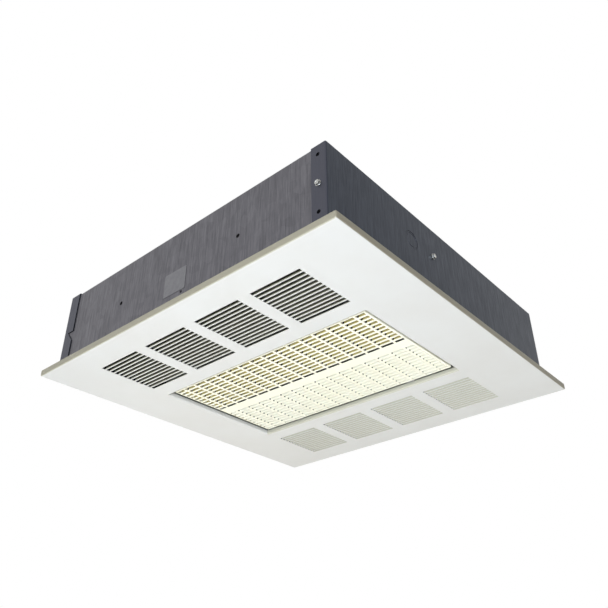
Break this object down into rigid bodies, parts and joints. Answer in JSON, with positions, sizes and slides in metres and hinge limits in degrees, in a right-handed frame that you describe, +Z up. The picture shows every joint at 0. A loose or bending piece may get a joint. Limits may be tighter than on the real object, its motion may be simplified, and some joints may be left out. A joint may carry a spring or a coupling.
{
  "type": "electric ceiling heater",
  "caption": "Square fan-forced electric heater for a suspended ceiling, with louvred intake banks and a hinged discharge grille.",
  "frame": {"origin": "centre of the face panel's lower face, which is the part's underside", "axes": "+X along the louvres towards the wiring side, +Y towards the grille's free edge, +Z up into the ceiling"},
  "size_m": [0.603, 0.603, 0.1508],
  "materials": {
    "panel_white": "white powder coat, satin",
    "grille_cream": "cream powder coat, satin",
    "galvanised": "galvanised sheet with vertical rolling marks",
    "cap_steel": "smooth blue-grey steel, satin",
    "inner_sheet": "aluminised sheet, matt",
    "zinc": "bright zinc plate",
    "plate_grey": "bare satin foil plate",
    "fin_steel": "oxidised steel",
    "ceramic": "glazed steatite",
    "fan_alloy": "stamped aluminium",
    "core_steel": "varnished laminations",
    "motor_paint": "black enamel",
    "copper": "varnished copper wire",
    "bronze": "sintered bronze",
    "black_plastic": "black phenolic",
    "brass": "plated brass",
    "relay_white": "white nylon",
    "relay_brown": "brown phenolic",
    "red_plastic": "red nylon"
  },
  "bodies": {
    "casing": {"face_panel": "panel_white", "rim_nuts": "zinc", "grille_catches": "zinc", "casing_wrapper": "galvanised", "end_cap_right": "cap_steel", "end_cap_left": "cap_steel", "casing_screws": "zinc", "knockout_slug": "cap_steel", "ground_screw": "zinc", "rating_plate": "plate_grey", "duct_front": "inner_sheet", "duct_rear": "inner_sheet", "duct_left": "inner_sheet", "duct_right": "inner_sheet", "fan_deck": "inner_sheet", "element_front": "fin_steel", "element_middle": "fin_steel", "element_rear": "fin_steel", "element_support": "inner_sheet", "element_bushings": "ceramic", "terminal_insulators": "ceramic", "motor_stator": "core_steel", "motor_windings": "copper", "motor_shell": "motor_paint", "motor_cover": "motor_paint", "motor_bearings": "bronze", "motor_bracket": "inner_sheet", "motor_screws": "zinc", "bracket_screws": "zinc", "wiring_box": "inner_sheet", "terminal_block": "black_plastic", "terminal_screws": "brass", "element_relay": "relay_white", "delay_relay": "relay_brown", "control_transformer": "core_steel", "switch_body": "black_plastic", "switch_nut": "zinc", "cutout_body": "relay_brown"},
    "fan": {"fan_wheel": "fan_alloy", "motor_shaft": "zinc", "motor_rotor": "core_steel"},
    "grille": {"discharge_grille": "grille_cream", "grille_pins": "zinc"},
    "toggle": {"switch_toggle": "zinc"},
    "button": {"cutout_button": "red_plastic"}
  },
  "joints": [
    {"name": "fan_spin", "type": "hinge", "parent": "casing", "child": "fan", "pos_m": [0, 0, 0.09], "axis": [0, 0, 1], "continuous": true},
    {"name": "grille_swing", "type": "hinge", "parent": "casing", "child": "grille", "pos_m": [0, -0.1085, 0.01], "axis": [-1, 0, 0], "range_deg": [0, 90]},
    {"name": "toggle_swing", "type": "hinge", "parent": "casing", "child": "toggle", "pos_m": [0.209, -0.04, 0.02], "axis": [0, -1, 0], "range_deg": [0, 26]},
    {"name": "reset_push", "type": "slide", "parent": "casing", "child": "button", "axis": [1, 0, 0], "range_m": [0, 0.0015], "stiffness_N_per_m": 400}
  ]
}
